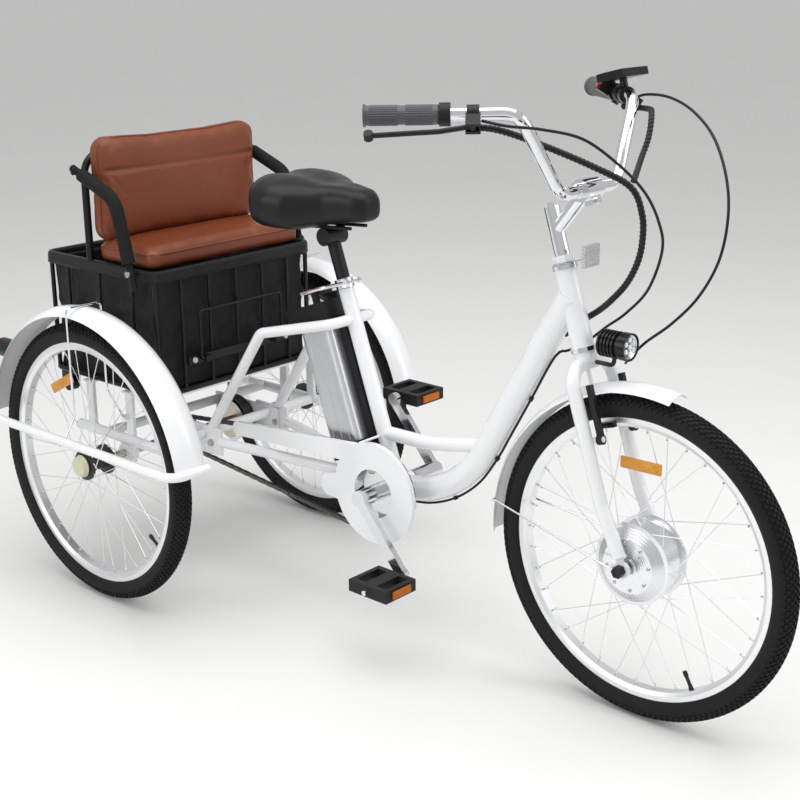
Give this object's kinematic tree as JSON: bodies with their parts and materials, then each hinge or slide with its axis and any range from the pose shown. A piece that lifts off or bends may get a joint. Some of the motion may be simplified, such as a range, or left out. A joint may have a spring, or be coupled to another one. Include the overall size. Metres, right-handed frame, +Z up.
{
  "type": "electric adult tricycle",
  "caption": "Step-through adult tricycle with a front hub motor, chain-driven rear axle, rear basket with folding footrest and a padded passenger seat.",
  "frame": {"origin": "on the ground, under the centre of the bounding box", "axes": "+X forward along the length, +Y to the rider's left across the wheels, +Z up"},
  "size_m": [1.7958, 0.795, 1.1228],
  "materials": {
    "white_paint": "glossy white enamel",
    "black_paint": "satin black enamel",
    "chrome": "polished chrome plate",
    "alloy": "brushed alloy",
    "steel": "zinc-plated steel",
    "chain_steel": "oiled dark steel",
    "black_plastic": "satin moulded plastic",
    "gloss_black": "glossy moulded plastic",
    "rubber": "soft black rubber",
    "tyre": "black tyre rubber",
    "foam": "closed-cell foam sleeve",
    "brown_leather": "brown stitched leather",
    "black_leather": "soft black cover",
    "liner_cloth": "coated black cloth",
    "red_plastic": "glossy red",
    "green_plastic": "glossy green",
    "clear_lens": "clear prismatic lens"
  },
  "bodies": {
    "frame": {"head_tube": "white_paint", "down_tube": "white_paint", "seat_tube": "white_paint", "seat_clamp": "chrome", "seat_stays": "white_paint", "chain_stays": "white_paint", "chainguard": "white_paint", "chain": "chain_steel", "rear_carriage": "white_paint", "brake_housing": "black_paint", "rear_fenders": "white_paint", "fender_stays": "chrome", "wheel_guards": "white_paint", "basket_frame": "black_paint", "seat_arch": "black_paint", "basket_liner": "liner_cloth", "seat_cushion": "brown_leather", "backrest": "brown_leather", "armrests": "foam", "tail_lamp": "black_plastic", "battery_dock": "black_plastic", "rear_brake_cable": "rubber", "wiring_harness": "rubber"},
    "saddle_post": {"seatpost": "black_plastic", "saddle": "black_leather"},
    "release_lever": {"release_lever": "chrome"},
    "battery": {"battery_case": "alloy", "battery_head": "black_plastic"},
    "steering": {"fork": "white_paint", "quill_stem": "chrome", "handlebar": "chrome", "left_grip": "rubber", "lever_perches": "black_plastic", "display": "gloss_black", "headlamp": "gloss_black", "front_reflector": "clear_lens", "front_fender": "white_paint", "front_brake_cable": "rubber"},
    "throttle": {"throttle_grip": "rubber"},
    "right_lever": {"right_brake_lever": "black_plastic"},
    "left_lever": {"left_brake_lever": "black_plastic"},
    "red_button": {"red_button": "red_plastic"},
    "green_button": {"green_button": "green_plastic"},
    "right_brake": {"right_brake_arm": "black_plastic"},
    "left_brake": {"left_brake_arm": "black_plastic"},
    "front_wheel": {"front_tyre": "tyre", "front_rim": "alloy", "hub_motor": "alloy"},
    "driven_wheel": {"rear_axle": "steel", "right_hub": "black_plastic", "right_rim": "alloy", "right_tyre": "tyre"},
    "freewheel": {"freewheel": "chain_steel"},
    "free_wheel_left": {"left_hub": "black_plastic", "left_rim": "alloy", "left_tyre": "tyre"},
    "cranks": {"crankset": "alloy"},
    "right_pedal": {"right_pedal": "black_plastic"},
    "left_pedal": {"left_pedal": "black_plastic"},
    "footrest": {"footrest": "black_paint"}
  },
  "joints": [
    {"name": "steering_turn", "type": "hinge", "parent": "frame", "child": "steering", "pos_m": [0.57438, 0, 0.3], "axis": [-0.2965, 0, 0.955], "range_deg": [-45, 45], "deforming": ["wiring_harness", "rear_brake_cable"]},
    {"name": "saddle_height", "type": "slide", "parent": "frame", "child": "saddle_post", "axis": [-0.3338, 0, 0.9426], "range_m": [-0.05, 0.09]},
    {"name": "release_lever_turn", "type": "hinge", "parent": "frame", "child": "release_lever", "pos_m": [-0.09385, 0, 0.69854], "axis": [0, 1, 0], "range_deg": [0, 60]},
    {"name": "battery_slide", "type": "slide", "parent": "frame", "child": "battery", "axis": [-0.3338, 0, 0.9426], "range_m": [0, 0.07]},
    {"name": "throttle_twist", "type": "hinge", "parent": "steering", "child": "throttle", "pos_m": [0.24956, -0.317, 1.07247], "axis": [0.7804, 0.6251, 0.0123], "range_deg": [0, 60], "stiffness_Nm_per_rad": 0.3},
    {"name": "right_lever_pull", "type": "hinge", "parent": "steering", "child": "right_lever", "pos_m": [0.39978, -0.22911, 1.05849], "axis": [0.3273, -0.4252, 0.8438], "range_deg": [0, 10], "stiffness_Nm_per_rad": 2, "springref_deg": -5.73},
    {"name": "left_lever_pull", "type": "hinge", "parent": "steering", "child": "left_lever", "pos_m": [0.39978, 0.22911, 1.05849], "axis": [-0.3273, -0.4252, -0.8438], "range_deg": [0, 10], "stiffness_Nm_per_rad": 2, "springref_deg": -5.73},
    {"name": "red_button_press", "type": "slide", "parent": "steering", "child": "red_button", "axis": [0.5327, 0.6545, -0.5365], "range_m": [0, 0.002], "stiffness_N_per_m": 400},
    {"name": "green_button_press", "type": "slide", "parent": "steering", "child": "green_button", "axis": [0.5327, 0.6545, -0.5365], "range_m": [0, 0.002], "stiffness_N_per_m": 400},
    {"name": "left_brake_close", "type": "hinge", "parent": "steering", "child": "left_brake", "pos_m": [0.50855, 0.05, 0.51201], "axis": [0.955, 0, 0.2965], "range_deg": [0, 4]},
    {"name": "right_brake_close", "type": "hinge", "parent": "steering", "child": "right_brake", "pos_m": [0.50855, -0.05, 0.51201], "axis": [0.955, 0, 0.2965], "range_deg": [-4, 0]},
    {"name": "front_wheel_spin", "type": "hinge", "parent": "steering", "child": "front_wheel", "pos_m": [0.59794, 0, 0.3], "axis": [0, 1, 0], "continuous": true},
    {"name": "driven_wheel_spin", "type": "hinge", "parent": "frame", "child": "driven_wheel", "pos_m": [-0.54806, 0, 0.3], "axis": [0, 1, 0], "continuous": true},
    {"name": "left_wheel_spin", "type": "hinge", "parent": "frame", "child": "free_wheel_left", "pos_m": [-0.54806, 0.32, 0.3], "axis": [0, 1, 0], "continuous": true},
    {"name": "crank_turn", "type": "hinge", "parent": "frame", "child": "cranks", "pos_m": [0.02394, 0, 0.3], "axis": [0, 1, 0], "continuous": true},
    {"name": "freewheel_turn", "type": "hinge", "parent": "frame", "child": "freewheel", "pos_m": [-0.54806, -0.06, 0.3], "axis": [0, 1, 0], "continuous": true},
    {"name": "right_pedal_spin", "type": "hinge", "parent": "cranks", "child": "right_pedal", "pos_m": [0.13434, -0.17, 0.17073], "axis": [0, 1, 0], "continuous": true},
    {"name": "left_pedal_spin", "type": "hinge", "parent": "cranks", "child": "left_pedal", "pos_m": [-0.08647, 0.17, 0.42927], "axis": [0, 1, 0], "continuous": true},
    {"name": "footrest_fold", "type": "hinge", "parent": "frame", "child": "footrest", "pos_m": [-0.42826, 0, 0.503], "axis": [0, 1, 0], "range_deg": [0, 75]}
  ],
  "couplings": [
    {"joint": "freewheel_turn", "follows": "crank_turn", "ratio": 2.5556},
    {"joint": "left_brake_close", "follows": "left_lever_pull", "ratio": 0.4},
    {"joint": "right_brake_close", "follows": "left_lever_pull", "ratio": -0.4}
  ]
}
